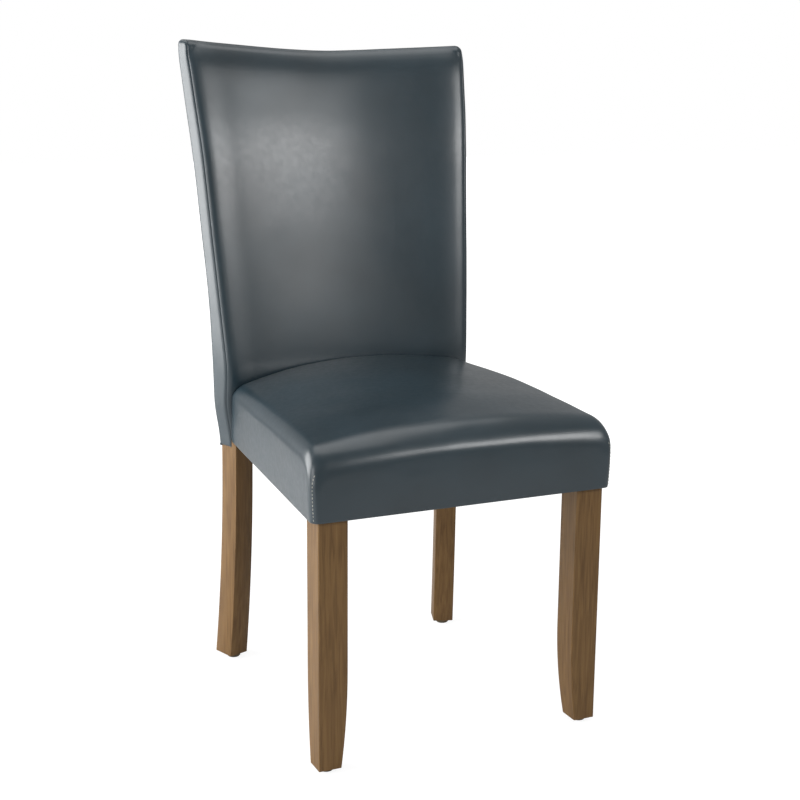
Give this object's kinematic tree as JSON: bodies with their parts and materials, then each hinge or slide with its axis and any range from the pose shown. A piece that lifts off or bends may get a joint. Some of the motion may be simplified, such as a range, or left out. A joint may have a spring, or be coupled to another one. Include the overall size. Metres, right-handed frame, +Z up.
{
  "type": "parsons chair",
  "caption": "Armless dining chair with a fully upholstered seat and a tall raked back that curves round the sitter, on tapered square wooden legs with floor glides.",
  "frame": {"origin": "On the floor, under the middle of the chair's overall width and depth.", "axes": "+Z up; the chair faces -Y; +X is the sitter's left."},
  "size_m": [0.5012, 0.5865, 1.0154],
  "materials": {
    "wood": "satin brown stained beech, fine straight grain along each leg",
    "rail_wood": "unfinished sawn beech inside the upholstery",
    "plywood": "bent plywood panel",
    "leather": "smooth dark slate bonded leather, fine grain, soft sheen",
    "foam": "open cell upholstery foam",
    "wadding": "white fibre wadding",
    "webbing": "woven jute straps",
    "dust_cloth": "thin black non-woven cloth",
    "card": "grey brown fibre strip",
    "glide_plastic": "dark brown moulded plastic",
    "steel": "plain steel"
  },
  "bodies": {
    "root": {"front_leg_left": "wood", "rear_post_left": "wood", "seat_side_rail_left": "rail_wood", "corner_block_front_left": "rail_wood", "corner_block_rear_left": "rail_wood", "front_leg_right": "wood", "rear_post_right": "wood", "seat_side_rail_right": "rail_wood", "corner_block_front_right": "rail_wood", "corner_block_rear_right": "rail_wood", "seat_front_rail": "rail_wood", "seat_rear_rail": "rail_wood", "back_lower_rail": "rail_wood", "back_middle_rail": "rail_wood", "back_top_rail": "rail_wood", "seat_frame_dowels": "rail_wood", "corner_block_screws": "steel", "webbing_lengthwise_right": "webbing", "webbing_lengthwise_centre": "webbing", "webbing_lengthwise_left": "webbing", "webbing_crosswise_front": "webbing", "webbing_crosswise_middle": "webbing", "webbing_crosswise_rear": "webbing", "back_panel": "plywood", "seat_foam": "foam", "seat_wadding": "wadding", "seat_cover": "leather", "dust_cover": "dust_cloth", "back_front_foam": "foam", "back_top_pad": "foam", "back_rear_wadding": "wadding", "outside_back_tack_strip": "card", "outside_back_cover": "leather", "inside_back_cover": "leather", "back_side_pad_left": "foam", "side_boxing_left": "leather", "back_side_pad_right": "foam", "side_boxing_right": "leather", "glide_front_left": "glide_plastic", "glide_rear_left": "glide_plastic", "glide_front_right": "glide_plastic", "glide_rear_right": "glide_plastic", "glide_nails": "steel"}
  },
  "joints": []
}
